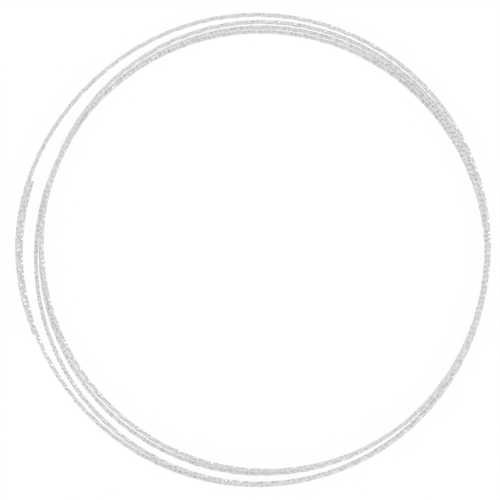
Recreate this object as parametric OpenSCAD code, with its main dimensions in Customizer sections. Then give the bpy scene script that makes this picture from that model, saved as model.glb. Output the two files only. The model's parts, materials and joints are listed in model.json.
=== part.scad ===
// Wreath ring of springy florist's wire: one wire laid in a loose flat coil of four turns,
// with a free cut end at each end of the wire.
// The ring lies flat. Its bottom turn touches the ground plane, and each turn lies on the
// one below. Angles run anticlockwise from +X and keep counting from turn to turn.
// The wire is modelled as stretches that meet face to face where it twists as it springs.

/* [Wire] */
// Diameter of the wire
wire_d = 2.1; // [1.6:0.1:2.2]
// Straight length at each cut end
tip_len = 6; // [4:1:8]

/* [Ring] */
// Outer diameter of the finished ring
ring_d = 250; // [220:10:350]
// Height from one turn to the turn that lies on it
turn_rise = 2.4; // [2.4:0.1:4]

/* [Facets] */
// Sides of the wire's cross-section in this model
sides = 12; // [8, 12, 16]
// Largest bend between two cross-sections, in degrees
bend_step = 6; // [3:1:8]

/* [Hidden] */

wire_r = wire_d / 2;
silver = [0.80, 0.81, 0.82];
bright_silver = [0.88, 0.89, 0.90];

// How far the wire's middle lies from the ring's centre, every 45 degrees along the wire.
// Each row is one turn, from its left side through its front, right and back.
lay_ring_d = 250;
lay_step = 45;
lay_first = 135;
lay = [
    121.25,
    123, 123, 124, 124.25, 122, 117.75, 114.5, 113.25,
    115, 119.5, 123, 123.5, 122.5, 119.5, 116.75, 113.5,
    112.5, 114.5, 117.75, 120.75, 121.75, 121.25, 119.5, 115.5,
    111.75, 111.75, 116, 121, 123, 123.75, 123.25, 122.5,
    124.75, 122
];

// Where the wire is cut, as an angle along it
wire_start = 163;
wire_end = 1641;
tip_bend = tip_len / (ring_d / 2) * 180 / PI;
tail_a_start = wire_start + tip_bend;
tail_b_end = wire_end - tip_bend;

// Where the stretches meet: the two tails spring from the bundle, and each turn twists
// at its right side and again on the left, where it steps up on to the turn below
tail_a_root = 235;
tail_b_root = 1530;
right_side = 360;
left_step = 573;

// Each turn steps up over these angles of its left side
step_from = 543;
step_span = 60;
steps = 3;

function ease(t) = let (u = min(max(t, 0), 1)) u * u * (3 - 2 * u);

function lay_value(i) = lay[min(max(i, 0), len(lay) - 1)];

// Smooth curve through four neighbouring values, from the second (t = 0) to the third
function through(a, b, c, d, t) =
    b + t * (c - a) / 2 + t * t * (a - 2.5 * b + 2 * c - d / 2) + t * t * t * (1.5 * (b - c) + (d - a) / 2);

function reach(angle) =
    let (u = (angle - lay_first) / lay_step, i = floor(u))
    through(lay_value(i - 1), lay_value(i), lay_value(i + 1), lay_value(i + 2), u - i)
        * ring_d / lay_ring_d;

function climb(angle, k) = k < 0 ? 0 : ease((angle - step_from - 360 * k) / step_span) + climb(angle, k - 1);

function height(angle) = wire_r + turn_rise * climb(angle, steps - 1);

function raw_place(angle) = [reach(angle) * cos(angle), reach(angle) * sin(angle), height(angle)];

// The ring is centred on the origin by its outline
outline = [for (a = [wire_start : 3 : wire_end]) raw_place(a)];
function middle(axis) = (max([for (p = outline) p[axis]]) + min([for (p = outline) p[axis]])) / 2;
centre = [middle(0), middle(1), 0];

function place(angle) = raw_place(angle) - centre;

function unit(v) = v / norm(v);
function heading(angle) = unit(place(angle + 0.5) - place(angle - 0.5));
function outward(angle) = unit(cross(heading(angle), [0, 0, 1]));
function upward(angle) = cross(outward(angle), heading(angle));

function section(angle) = [for (s = [0 : sides - 1])
    place(angle) + wire_r * (cos(s * 360 / sides) * outward(angle) + sin(s * 360 / sides) * upward(angle))];

function wall(ring, s) = let (
    a = ring * sides + s,
    b = ring * sides + (s + 1) % sides
) [[a, b, b + sides], [a, b + sides, a + sides]];

// A length of the wire between two angles, swept along the coil
module stretch(from, to) {
    rings = ceil((to - from) / bend_step);
    points = [for (i = [0 : rings]) each section(from + (to - from) * i / rings)];
    walls = [for (i = [0 : rings - 1], s = [0 : sides - 1]) each wall(i, s)];
    last = rings * sides;
    start_cap = [for (s = [1 : sides - 2]) [0, s + 1, s]];
    end_cap = [for (s = [1 : sides - 2]) [last, last + s, last + s + 1]];
    polyhedron(points = points, faces = concat(walls, start_cap, end_cap), convexity = 10);
}

// The straight, true round stretch at a cut end, leaving the coil at an angle along it
module tip(angle, way) {
    dir = way * heading(angle);
    turn = atan2(dir[1], dir[0]);
    slope = acos(dir[2]);
    color(bright_silver)
        translate(place(angle))
        rotate([0, slope, turn])
        cylinder(h = tip_len, r = wire_r, $fn = 48);
}

module end_a_tip() {
    tip(tail_a_start, -1);
}

module end_a_tail() {
    color(silver) stretch(tail_a_start, tail_a_root);
}

module turn_1_front() {
    color(silver) stretch(tail_a_root, right_side);
}

// The half turn through the back of the ring, from its right side to its left
module back_half(turn) {
    color(silver) stretch(right_side + 360 * (turn - 1), left_step + 360 * (turn - 1));
}

// The half turn through the front of the ring, from its left side to its right
module front_half(turn) {
    color(bright_silver) stretch(left_step + 360 * (turn - 2), right_side + 360 * (turn - 1));
}

module turn_4_back() {
    color(silver) stretch(right_side + 360 * 3, tail_b_root);
}

module end_b_tail() {
    color(bright_silver) stretch(tail_b_root, tail_b_end);
}

module end_b_tip() {
    tip(tail_b_end, 1);
}

end_a_tip();
end_a_tail();
turn_1_front();
back_half(1);  // turn_1_back
front_half(2);  // turn_2_front
back_half(2);  // turn_2_back
front_half(3);  // turn_3_front
back_half(3);  // turn_3_back
front_half(4);  // turn_4_front
turn_4_back();
end_b_tail();
end_b_tip();
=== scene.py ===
"""Wreath ring of diamond-cut silver florist's wire, laid flat: a loose coil with two free cut ends.

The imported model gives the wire's route: each node is a stretch of plain round wire whose
cross-sections lie along the coil. This script reads that route back from the nodes, lays a
faceted wire along it, and cuts it into the same stretches, so each rides on its own body.
"""

import json
import math
import random

import bpy
import numpy as np
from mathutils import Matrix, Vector

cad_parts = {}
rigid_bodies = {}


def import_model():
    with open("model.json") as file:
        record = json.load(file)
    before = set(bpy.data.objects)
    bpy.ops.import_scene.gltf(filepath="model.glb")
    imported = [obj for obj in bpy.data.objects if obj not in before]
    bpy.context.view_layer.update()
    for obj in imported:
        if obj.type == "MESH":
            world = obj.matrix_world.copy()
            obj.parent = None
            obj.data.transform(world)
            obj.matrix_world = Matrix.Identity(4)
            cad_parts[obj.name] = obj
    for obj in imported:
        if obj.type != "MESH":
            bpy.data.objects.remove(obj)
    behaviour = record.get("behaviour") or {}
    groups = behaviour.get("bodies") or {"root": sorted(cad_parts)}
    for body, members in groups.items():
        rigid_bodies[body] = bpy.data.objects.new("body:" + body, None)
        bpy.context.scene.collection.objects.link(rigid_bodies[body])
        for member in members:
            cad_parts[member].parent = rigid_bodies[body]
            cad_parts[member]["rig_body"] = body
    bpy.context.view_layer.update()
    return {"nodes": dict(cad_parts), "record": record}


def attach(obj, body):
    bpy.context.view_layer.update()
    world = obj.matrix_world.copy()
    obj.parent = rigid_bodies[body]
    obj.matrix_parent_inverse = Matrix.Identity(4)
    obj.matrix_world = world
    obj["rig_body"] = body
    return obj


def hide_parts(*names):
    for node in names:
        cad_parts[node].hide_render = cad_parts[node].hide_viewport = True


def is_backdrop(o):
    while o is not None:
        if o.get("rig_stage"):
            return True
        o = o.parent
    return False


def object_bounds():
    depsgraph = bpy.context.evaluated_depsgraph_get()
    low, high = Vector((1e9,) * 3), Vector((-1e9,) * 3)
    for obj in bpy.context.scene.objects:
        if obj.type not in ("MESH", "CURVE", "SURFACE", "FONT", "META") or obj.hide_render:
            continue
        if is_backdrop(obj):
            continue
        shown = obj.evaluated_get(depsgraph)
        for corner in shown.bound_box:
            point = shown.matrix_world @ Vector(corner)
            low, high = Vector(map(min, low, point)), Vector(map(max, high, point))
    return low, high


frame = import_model()

MM = 0.001

# The stretches in order along the wire, from cut end A to cut end B
STRETCHES = [
    "end_a_tail",
    "turn_1_front",
    "turn_1_back",
    "turn_2_front",
    "turn_2_back",
    "turn_3_front",
    "turn_3_back",
    "turn_4_front",
    "turn_4_back",
    "end_b_tail",
]
TIPS = {"end_a_tip": "end_a_pin", "end_b_tip": "end_b_pin"}

# Diamond cut of the wire: lozenge-shaped cuts in rings, each ring half a cut round from the last
CUTS_ROUND = 6
CUT_LENGTH = 2.34 * MM
CORNER_REACH = 1.07  # how far the corners stand out, so that the wire is as wide on average as in the CAD
CORNER_WANDER = 0.03  # how far a corner strays in and out, as a share of the radius
CORNER_SLIP = 6.0  # how far a corner strays round the wire, in degrees
TWIST_PER_RING = 4.2  # slow twist of the rows of cuts along the wire, in degrees
TWIST_WANDER = 3.0  # how far that twist strays from ring to ring, in degrees
RIDGE_ROUND = 0.11  # how far a cut's rim lies in from the ridge, as a share of the cut
SEED = 20

SECTION_GAP = 1.0  # cross-sections lie further apart than this round the ring, in degrees
HEADING_STEP = 0.2 * MM  # half the length of wire over which its direction is taken

# Light tent: its strength, and where it is dimmer
TENT_DIM = 0.695  # dimmest patch
TENT_BRIGHT = 1.04  # brightest patch
PATCH_SCALE = 3.2
HORIZON_SHARE = 0.65  # strength left at the horizon
HORIZON_TOP = 0.7  # height on the unit sphere at which the tent has its full strength
HOLE_EDGE = 4.5  # angle from straight up at which the camera's dark hole begins, in degrees
HOLE_FULL = 3.5  # angle from straight up within which it is darkest, in degrees
HOLE_SHARE = 0.1  # strength left in the hole
LAMP_DISTANCE = 2.0

# Camera, straight above the ring and a little off its middle
CAMERA_HEIGHT = 4.0
CAMERA_X = -0.00155
CAMERA_Y = 0.00011
VIEW_WIDTH = 0.26316  # width of the floor that the picture shows
SENSOR_WIDTH = 36.0


# ------------------------------------------------------------------ route of the wire


def cross_section_centres(node):
    """The middles of a stretch's cross-sections, in order anticlockwise round the ring."""
    coords = {tuple(round(c, 5) for c in v.co) for v in frame["nodes"][node].data.vertices}
    points = sorted(coords, key=lambda p: math.atan2(p[1], p[0]))
    angles = [math.degrees(math.atan2(p[1], p[0])) for p in points]
    gaps = [(angles[i] - angles[i - 1]) % 360 for i in range(len(angles))]
    first = gaps.index(max(gaps))
    points = points[first:] + points[:first]
    gaps = gaps[first:] + gaps[:first]
    groups = [[points[0]]]
    for point, gap in zip(points[1:], gaps[1:]):
        if gap > SECTION_GAP:
            groups.append([])
        groups[-1].append(point)
    return [np.mean(np.array(g), axis=0) for g in groups]


def pin_mount(tip):
    return next(m for m in frame["record"]["mounts"] if m["name"] == TIPS[tip])


def wire_radius():
    return pin_mount("end_a_tip")["dims"]["r_mm"] * MM


def cut_end(tip):
    """The middle of a cut end's face: half the pin mount's length beyond its middle."""
    mount = pin_mount(tip)
    reach = mount["dims"]["length_mm"] / 2 * MM
    return np.array(mount["pos_m"]) + reach * np.array(mount["axis"])


def route_points():
    """Points along the whole wire, and the index in them at which each stretch begins."""
    points = [cut_end("end_a_tip")]
    starts = {}
    for node in STRETCHES:
        centres = cross_section_centres(node)
        if len(points) > 1:
            centres = centres[1:]
            starts[node] = len(points) - 1
        else:
            starts[node] = len(points)
        points += centres
    starts["end_b_tip"] = len(points) - 1
    points.append(cut_end("end_b_tip"))
    return np.array(points), starts


class Route:
    """A smooth curve through the route's points, measured along its length."""

    def __init__(self, points):
        self.knots = np.concatenate([[0], np.cumsum(np.linalg.norm(np.diff(points, axis=0), axis=1))])
        self.points = points
        slopes = np.diff(points, axis=0) / np.diff(self.knots)[:, None]
        width = np.diff(self.knots)
        inner = (slopes[:-1] * width[1:, None] + slopes[1:] * width[:-1, None]) / (
            width[1:] + width[:-1]
        )[:, None]
        self.slopes = np.vstack([slopes[:1], inner, slopes[-1:]])

    def at(self, s):
        """Points on the curve at distances s."""
        i = np.clip(np.searchsorted(self.knots, s, side="right") - 1, 0, len(self.knots) - 2)
        h = (self.knots[i + 1] - self.knots[i])[:, None]
        t = ((s - self.knots[i])[:, None]) / h
        p0, p1, m0, m1 = self.points[i], self.points[i + 1], self.slopes[i] * h, self.slopes[i + 1] * h
        return (
            (1 + 2 * t) * (1 - t) ** 2 * p0
            + t * (1 - t) ** 2 * m0
            + t * t * (3 - 2 * t) * p1
            + t * t * (t - 1) * m1
        )

    def frames(self, s):
        """Place, heading, outward and upward directions at distances s."""
        end = self.knots[-1]
        after = self.at(np.clip(s + HEADING_STEP, 0, end))
        before = self.at(np.clip(s - HEADING_STEP, 0, end))
        ahead = after - before
        heading = ahead / np.linalg.norm(ahead, axis=1)[:, None]
        outward = np.cross(heading, np.array([0.0, 0.0, 1.0]))
        outward /= np.linalg.norm(outward, axis=1)[:, None]
        return self.at(s), heading, outward, np.cross(outward, heading)


# ------------------------------------------------------------------ materials


def node(tree, kind, **settings):
    made = tree.nodes.new(kind)
    for key, value in settings.items():
        setattr(made, key, value)
    return made


def silver_wire():
    """Lacquered silver aluminium with cut facets: bright, slightly mottled, with small painted dark specks
    that stand for facets reflecting something dark.
    """
    mat = bpy.data.materials.new("silver_wire")
    mat.use_nodes = True
    tree = mat.node_tree
    links = tree.links
    shader = tree.nodes["Principled BSDF"]
    shader.inputs["Metallic"].default_value = 1.0
    coord = node(tree, "ShaderNodeTexCoord")

    mottle = node(tree, "ShaderNodeTexNoise")
    mottle.inputs["Scale"].default_value = 1500.0
    mottle.inputs["Detail"].default_value = 3.0
    links.new(coord.outputs["Object"], mottle.inputs["Vector"])
    tint = node(tree, "ShaderNodeValToRGB")
    tint.color_ramp.elements[0].position = 0.32
    tint.color_ramp.elements[0].color = (0.74, 0.742, 0.746, 1)
    tint.color_ramp.elements[1].position = 0.68
    tint.color_ramp.elements[1].color = (0.86, 0.862, 0.866, 1)
    links.new(mottle.outputs["Fac"], tint.inputs["Fac"])

    # Painted reflection: small dark specks mixed into the colour, standing for facets that mirror
    # something dark overhead.
    reflection_speck_noise = node(tree, "ShaderNodeTexNoise")
    reflection_speck_noise.inputs["Scale"].default_value = 700.0
    reflection_speck_noise.inputs["Detail"].default_value = 2.0
    links.new(coord.outputs["Object"], reflection_speck_noise.inputs["Vector"])
    painted_reflection_mask = node(tree, "ShaderNodeMapRange")
    painted_reflection_mask.inputs["From Min"].default_value = 0.70
    painted_reflection_mask.inputs["From Max"].default_value = 0.79
    links.new(reflection_speck_noise.outputs["Fac"], painted_reflection_mask.inputs["Value"])
    painted_dark_reflection = node(tree, "ShaderNodeMix", data_type="RGBA")
    painted_dark_reflection.inputs["B"].default_value = (0.27, 0.27, 0.275, 1)
    links.new(painted_reflection_mask.outputs["Result"], painted_dark_reflection.inputs["Factor"])
    links.new(tint.outputs["Color"], painted_dark_reflection.inputs["A"])
    links.new(painted_dark_reflection.outputs["Result"], shader.inputs["Base Color"])

    rough = node(tree, "ShaderNodeMapRange")
    rough.inputs["To Min"].default_value = 0.10
    rough.inputs["To Max"].default_value = 0.26
    links.new(mottle.outputs["Fac"], rough.inputs["Value"])
    links.new(rough.outputs["Result"], shader.inputs["Roughness"])

    grain = node(tree, "ShaderNodeTexNoise")
    grain.inputs["Scale"].default_value = 2600.0
    links.new(coord.outputs["Object"], grain.inputs["Vector"])
    bump = node(tree, "ShaderNodeBump")
    bump.inputs["Strength"].default_value = 0.12
    bump.inputs["Distance"].default_value = 0.05 * MM
    links.new(grain.outputs["Fac"], bump.inputs["Height"])
    links.new(bump.outputs["Normal"], shader.inputs["Normal"])
    return mat


def sheared_face():
    """Bare aluminium of a cut end: a rough grey break with fine shear lines."""
    mat = bpy.data.materials.new("sheared_face")
    mat.use_nodes = True
    tree = mat.node_tree
    links = tree.links
    shader = tree.nodes["Principled BSDF"]
    shader.inputs["Metallic"].default_value = 1.0
    coord = node(tree, "ShaderNodeTexCoord")
    lines = node(tree, "ShaderNodeTexWave")
    lines.inputs["Scale"].default_value = 1800.0
    lines.inputs["Distortion"].default_value = 9.0
    lines.inputs["Detail"].default_value = 3.0
    links.new(coord.outputs["Object"], lines.inputs["Vector"])
    tint = node(tree, "ShaderNodeValToRGB")
    tint.color_ramp.elements[0].color = (0.56, 0.56, 0.57, 1)
    tint.color_ramp.elements[1].color = (0.72, 0.72, 0.73, 1)
    links.new(lines.outputs["Color"], tint.inputs["Fac"])
    links.new(tint.outputs["Color"], shader.inputs["Base Color"])
    shader.inputs["Roughness"].default_value = 0.45
    bump = node(tree, "ShaderNodeBump")
    bump.inputs["Strength"].default_value = 0.3
    bump.inputs["Distance"].default_value = 0.03 * MM
    links.new(lines.outputs["Fac"], bump.inputs["Height"])
    links.new(bump.outputs["Normal"], shader.inputs["Normal"])
    return mat


# ------------------------------------------------------------------ the faceted wire


def ring_distances(lengths):
    """Distances of the rings of cuts along the wire, evenly shared out in each stretch."""
    rings = [lengths[0]]
    spans = []
    for start, end in zip(lengths[:-1], lengths[1:]):
        count = max(2, round((end - start) / (CUT_LENGTH / 2)))
        spans.append((len(rings) - 1, len(rings) - 1 + count))
        rings += [start + (end - start) * (i + 1) / count for i in range(count)]
    return np.array(rings), spans


def ring_corners(route, rings, radius):
    """The corners of every ring of cuts, and the wire's outward directions there."""
    rng = random.Random(SEED)
    place, _, outward, upward = route.frames(rings)
    corners = np.zeros((len(rings), CUTS_ROUND, 3))
    turn = 0.0
    for i in range(len(rings)):
        turn += 180 / CUTS_ROUND + TWIST_PER_RING + rng.uniform(-TWIST_WANDER, TWIST_WANDER)
        for k in range(CUTS_ROUND):
            angle = math.radians(turn + k * 360 / CUTS_ROUND + rng.uniform(-CORNER_SLIP, CORNER_SLIP))
            reach = radius * (CORNER_REACH + rng.uniform(-CORNER_WANDER, CORNER_WANDER))
            corners[i, k] = place[i] + reach * (math.cos(angle) * outward[i] + math.sin(angle) * upward[i])
    return corners


class Cuts:
    """The rims of all the cuts. Cut (i, k) lies across ring i from its corner k to the next corner.

    Its tips are on the rings before and after. Each rim lies a little in from the ridges, so that
    narrow strips and small lozenges between the rims round the ridges off.
    """

    def __init__(self, corners):
        def unit(v):
            return v / np.linalg.norm(v, axis=-1, keepdims=True)

        after = np.roll(corners, -1, axis=1)
        middle = (corners + after) / 2
        fore_tip = np.concatenate([corners[1:], 2 * middle[-1:] - after[-2:-1]])
        aft_tip = np.concatenate([2 * middle[:1] - corners[1:2], after[:-1]])
        self.near = corners + RIDGE_ROUND * (middle - corners)
        self.far = after + RIDGE_ROUND * (middle - after)
        self.fore = fore_tip + RIDGE_ROUND * (middle - fore_tip)
        self.aft = aft_tip + RIDGE_ROUND * (middle - aft_tip)
        across = after - corners
        fore_normal = unit(np.cross(fore_tip - corners, across))
        aft_normal = unit(np.cross(across, aft_tip - corners))
        self.middle_normal = unit(fore_normal + aft_normal)
        self.fore_normal = unit(2 * fore_normal - self.middle_normal)
        self.aft_normal = unit(2 * aft_normal - self.middle_normal)


def faceted_piece(name, cuts, first, last, body, cut_ends):
    """One stretch of faceted wire, closed at both ends and shaded as smooth scoops with rounded ridges."""
    n = CUTS_ROUND
    verts = []
    normals = []
    at = {}

    def add(kind, i, k, place, normal):
        at[kind, i, k] = len(verts)
        verts.append(tuple(place[i, k]))
        normals.append(tuple(normal[i, k]))

    for i in range(first, last + 1):
        for k in range(n):
            add("near", i, k, cuts.near, cuts.middle_normal)
            add("far", i, k, cuts.far, cuts.middle_normal)
            if i < last:
                add("fore", i, k, cuts.fore, cuts.fore_normal)
            if i > first:
                add("aft", i, k, cuts.aft, cuts.aft_normal)

    faces = []
    for i in range(first, last):
        j = i + 1
        for k in range(n):
            before = (k - 1) % n
            near, far, fore = at["near", i, k], at["far", i, k], at["fore", i, k]
            next_near, next_far, next_aft = at["near", j, k], at["far", j, k], at["aft", j, k]
            side_far, side_aft = at["far", j, before], at["aft", j, before]
            faces.append((near, fore, far))
            faces.append((next_near, next_far, next_aft))
            faces.append((side_aft, side_far, fore, near))
            faces.append((far, fore, next_near, next_aft))
            faces.append((at["far", i, before], side_aft, near))
            faces.append((side_far, next_near, fore))
    rim = [[at[side, i, k] for k in range(n) for side in ("near", "far")] for i in (first, last)]
    caps = [tuple(rim[0]), tuple(reversed(rim[1]))]

    mesh = bpy.data.meshes.new(name)
    mesh.from_pydata(verts, [], faces + caps)
    mesh.polygons.foreach_set("use_smooth", [True] * len(mesh.polygons))
    loop_normals = [normals[loop.vertex_index] for loop in mesh.loops]
    mesh.materials.append(WIRE)
    mesh.materials.append(SHEARED)
    for which, cap in enumerate(mesh.polygons[-2:]):
        cap.material_index = 1 if which in cut_ends else 0
        for loop in cap.loop_indices:
            loop_normals[loop] = tuple(cap.normal)
    mesh.normals_split_custom_set(loop_normals)
    piece = bpy.data.objects.new(name, mesh)
    bpy.context.scene.collection.objects.link(piece)
    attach(piece, body)
    return piece


WIRE = silver_wire()
SHEARED = sheared_face()


def build_wire():
    points, starts = route_points()
    route = Route(points)
    names = ["end_a_tip"] + STRETCHES + ["end_b_tip"]
    marks = [0] + [starts[n] for n in STRETCHES] + [starts["end_b_tip"], len(points) - 1]
    lengths = [route.knots[m] for m in marks]
    rings, spans = ring_distances(lengths)
    cuts = Cuts(ring_corners(route, rings, wire_radius()))
    for name, (first, last) in zip(names, spans):
        body = frame["nodes"][name]["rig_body"]
        cut_ends = {"end_a_tip": {0}, "end_b_tip": {1}}.get(name, set())
        piece = faceted_piece("faceted_" + name, cuts, first, last, body, cut_ends)
        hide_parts(name)


# ------------------------------------------------------------------ stage, light and camera


def pale_floor(level):
    """A white table that glows a little, so that it is as pale under the wire as around it."""
    bpy.ops.mesh.primitive_plane_add(size=16.0, location=(0, 0, level))
    floor = bpy.context.object
    floor.name = "floor"
    mat = bpy.data.materials.new("floor_white")
    mat.use_nodes = True
    shader = mat.node_tree.nodes["Principled BSDF"]
    shader.inputs["Base Color"].default_value = (0.12, 0.12, 0.12, 1)
    shader.inputs["Roughness"].default_value = 0.9
    shader.inputs["Specular IOR Level"].default_value = 0.1
    shader.inputs["Emission Color"].default_value = (1, 1, 1, 1)
    shader.inputs["Emission Strength"].default_value = 0.9
    floor.data.materials.append(mat)
    floor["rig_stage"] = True


def sparkle(name, azimuth, from_top, size, power):
    """A small lamp that the cuts facing it glint with. Azimuth 0 is +X; from_top is from straight up."""
    tilt = math.radians(from_top)
    turn = math.radians(azimuth)
    toward = (math.sin(tilt) * math.cos(turn), math.sin(tilt) * math.sin(turn), math.cos(tilt))
    place = Vector(toward) * LAMP_DISTANCE
    data = bpy.data.lights.new(name, "AREA")
    data.shape = "DISK"
    data.size = size
    data.energy = power
    light = bpy.data.objects.new(name, data)
    light.location = place
    light.rotation_euler = place.to_track_quat("Z", "Y").to_euler()
    light.visible_camera = False
    bpy.context.scene.collection.objects.link(light)


def white_tent():
    """Soft uneven light from all round, dimmer toward the horizon, with a dark hole where the camera
    looks in at the top.
    """
    world = bpy.data.worlds.new("studio")
    world.use_nodes = True
    tree = world.node_tree
    links = tree.links
    background = tree.nodes["Background"]
    background.inputs["Color"].default_value = (1, 1, 1, 1)
    coord = node(tree, "ShaderNodeTexCoord")
    patches = node(tree, "ShaderNodeTexNoise")
    patches.inputs["Scale"].default_value = PATCH_SCALE
    patches.inputs["Detail"].default_value = 1.0
    links.new(coord.outputs["Generated"], patches.inputs["Vector"])
    level = node(tree, "ShaderNodeMapRange")
    level.inputs["From Min"].default_value = 0.3
    level.inputs["From Max"].default_value = 0.7
    level.inputs["To Min"].default_value = TENT_DIM
    level.inputs["To Max"].default_value = TENT_BRIGHT
    links.new(patches.outputs["Fac"], level.inputs["Value"])
    axes = node(tree, "ShaderNodeSeparateXYZ")
    links.new(coord.outputs["Generated"], axes.inputs["Vector"])
    hole = node(tree, "ShaderNodeMapRange")
    hole.inputs["From Min"].default_value = math.cos(math.radians(HOLE_EDGE))
    hole.inputs["From Max"].default_value = math.cos(math.radians(HOLE_FULL))
    hole.inputs["To Min"].default_value = 1.0
    hole.inputs["To Max"].default_value = HOLE_SHARE
    links.new(axes.outputs["Z"], hole.inputs["Value"])
    horizon = node(tree, "ShaderNodeMapRange")
    horizon.inputs["From Max"].default_value = HORIZON_TOP
    horizon.inputs["To Min"].default_value = HORIZON_SHARE
    links.new(axes.outputs["Z"], horizon.inputs["Value"])
    dimmed = node(tree, "ShaderNodeMath", operation="MULTIPLY")
    links.new(level.outputs["Result"], dimmed.inputs[0])
    links.new(horizon.outputs["Result"], dimmed.inputs[1])
    total = node(tree, "ShaderNodeMath", operation="MULTIPLY")
    links.new(dimmed.outputs["Value"], total.inputs[0])
    links.new(hole.outputs["Result"], total.inputs[1])
    links.new(total.outputs["Value"], background.inputs["Strength"])
    bpy.context.scene.world = world


def soft_studio():
    white_tent()
    sparkle("sparkle_right", azimuth=19, from_top=50, size=0.65, power=1.8)
    sparkle("sparkle_back", azimuth=72, from_top=45, size=0.35, power=0.5)
    sparkle("sparkle_front", azimuth=320, from_top=48, size=0.3, power=0.25)
    bpy.context.scene.view_settings.view_transform = "Standard"


def camera():
    """Looks straight down on the ring, from far enough to show hardly any of its height."""
    data = bpy.data.cameras.new("camera")
    data.sensor_width = SENSOR_WIDTH
    data.lens = SENSOR_WIDTH * CAMERA_HEIGHT / VIEW_WIDTH
    data.clip_end = 50.0
    cam = bpy.data.objects.new("camera", data)
    cam.location = (CAMERA_X, CAMERA_Y, CAMERA_HEIGHT)
    bpy.context.scene.collection.objects.link(cam)
    bpy.context.scene.camera = cam


build_wire()
pale_floor(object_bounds()[0].z)
soft_studio()
camera()
